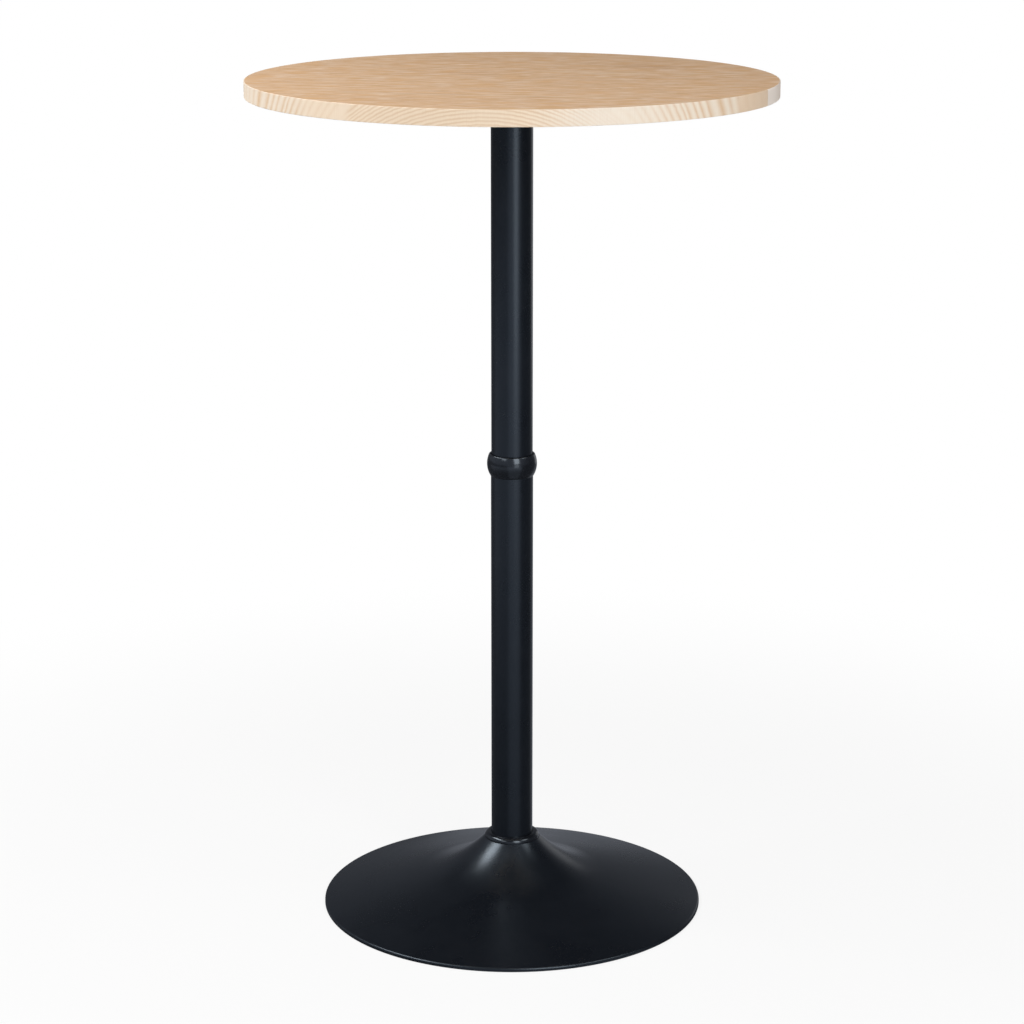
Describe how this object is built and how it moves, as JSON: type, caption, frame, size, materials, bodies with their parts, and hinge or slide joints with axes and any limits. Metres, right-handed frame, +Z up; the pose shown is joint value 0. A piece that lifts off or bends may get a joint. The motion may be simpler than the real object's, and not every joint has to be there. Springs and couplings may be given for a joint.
{
  "type": "bar table",
  "caption": "Tall bar table: a round wood-faced top on a slim black column with a joint collar, standing on a black trumpet base.",
  "frame": {"origin": "on the floor, at the centre of the base's foot ring, on the column's axis", "axes": "+Z up along the column; the picture looks along +Y, with +X to its right"},
  "size_m": [0.6, 0.6, 0.983],
  "materials": {
    "wood_face": "satin lacquered veneer with fine straight grain",
    "wood_edge": "pale lacquered edge band with fine grain",
    "board": "raw fibreboard",
    "backing": "plain pale backing veneer",
    "powder_coat": "satin black powder coat",
    "gloss_moulding": "glossy black moulding",
    "zinc": "bright zinc plate",
    "raw_steel": "dull mill steel, oiled",
    "foot_rubber": "matt black rubber"
  },
  "bodies": {
    "root": {"tabletop_core": "board", "top_veneer": "wood_face", "backing_veneer": "backing", "edge_band": "wood_edge", "insert_nuts": "zinc", "mounting_plate": "powder_coat", "plate_washers": "zinc", "plate_bolts": "zinc", "column_washer": "zinc", "column_bolt": "zinc", "upper_tube": "powder_coat", "upper_tube_top_plug": "raw_steel", "upper_tube_foot_plug": "raw_steel", "collar": "gloss_moulding", "joint_stud": "zinc", "lower_tube": "powder_coat", "lower_tube_top_plug": "raw_steel", "lower_tube_foot_plug": "raw_steel", "neck_ring": "gloss_moulding", "base_shell": "powder_coat", "ballast_plate": "raw_steel", "tack_welds": "raw_steel", "base_bolt": "zinc", "foot_ring": "foot_rubber"}
  },
  "joints": []
}
